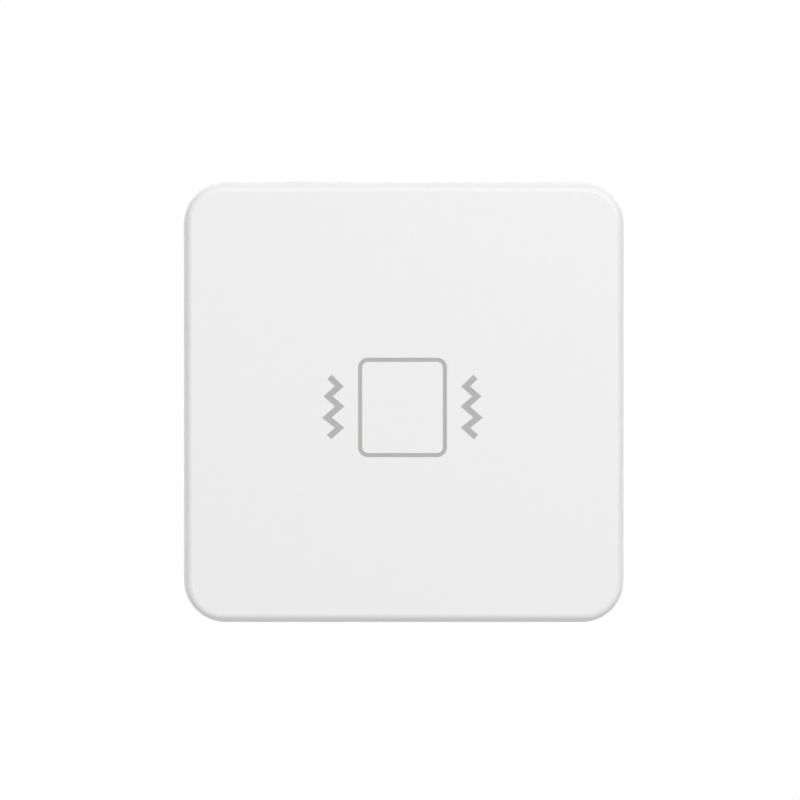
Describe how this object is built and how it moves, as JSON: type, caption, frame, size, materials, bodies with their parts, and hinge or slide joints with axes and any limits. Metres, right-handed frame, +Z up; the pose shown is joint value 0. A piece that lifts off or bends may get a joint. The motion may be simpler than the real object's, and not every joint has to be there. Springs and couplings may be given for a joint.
{
  "type": "vibration sensor tag",
  "caption": "Small white square sensor tag that sticks to a flat surface, pulls off its rear cover to change a coin cell, and has a pairing key in its top edge.",
  "frame": {"origin": "centre of the adhesive pad's outer face, on the wall", "axes": "+Z up the wall, +Y out of the tag's back into the wall, -Y the way the front looks, +X to the right of someone facing the front"},
  "size_m": [0.036, 0.0094, 0.036],
  "materials": {
    "white_plastic": "fine matt moulded texture",
    "adhesive_foam": "matt closed-cell foam",
    "clear_guide": "clear polished",
    "board_mask": "green lacquered board",
    "spring_steel": "nickel-plated sheet",
    "gold_contact": "thin gold plating",
    "cell_steel": "brushed stainless steel",
    "seal_plastic": "dull moulded",
    "black_plastic": "dull moulded",
    "ceramic": "dull fired",
    "capacitor_ceramic": "dull fired",
    "led_resin": "clear cast resin",
    "capacitor_resin": "moulded resin"
  },
  "bodies": {
    "base": {"rear_cover": "white_plastic", "adhesive_pad": "adhesive_foam"},
    "sensor": {"front_cover": "white_plastic", "light_guide": "clear_guide", "circuit_board": "board_mask", "board_screws": "spring_steel", "cell_clip": "spring_steel", "negative_contact": "gold_contact", "switch_body": "black_plastic", "switch_cover": "spring_steel", "radio_chip": "black_plastic", "accelerometer": "black_plastic", "crystals": "spring_steel", "chip_antenna": "ceramic", "status_led": "led_resin", "inductor": "black_plastic", "reservoir_capacitor": "capacitor_resin", "chip_capacitors": "capacitor_ceramic", "chip_resistors": "black_plastic"},
    "button": {"pair_button": "white_plastic"},
    "plunger": {"switch_plunger": "black_plastic"},
    "coin_cell": {"cell_can": "cell_steel", "cell_seal": "seal_plastic", "cell_cap": "cell_steel"}
  },
  "joints": [
    {"name": "body_release", "type": "slide", "parent": "base", "child": "sensor", "axis": [0, -1, 0], "range_m": [0, 0.025]},
    {"name": "button_press", "type": "slide", "parent": "sensor", "child": "button", "axis": [0, 0, -1], "range_m": [0, 0.0003], "stiffness_N_per_m": 800},
    {"name": "plunger_press", "type": "slide", "parent": "sensor", "child": "plunger", "axis": [0, 0, -1], "range_m": [0, 0.0003]},
    {"name": "cell_slide", "type": "slide", "parent": "sensor", "child": "coin_cell", "axis": [-1, 0, 0], "range_m": [0, 0.01]}
  ],
  "couplings": [
    {"joint": "plunger_press", "follows": "button_press", "ratio": 1}
  ]
}
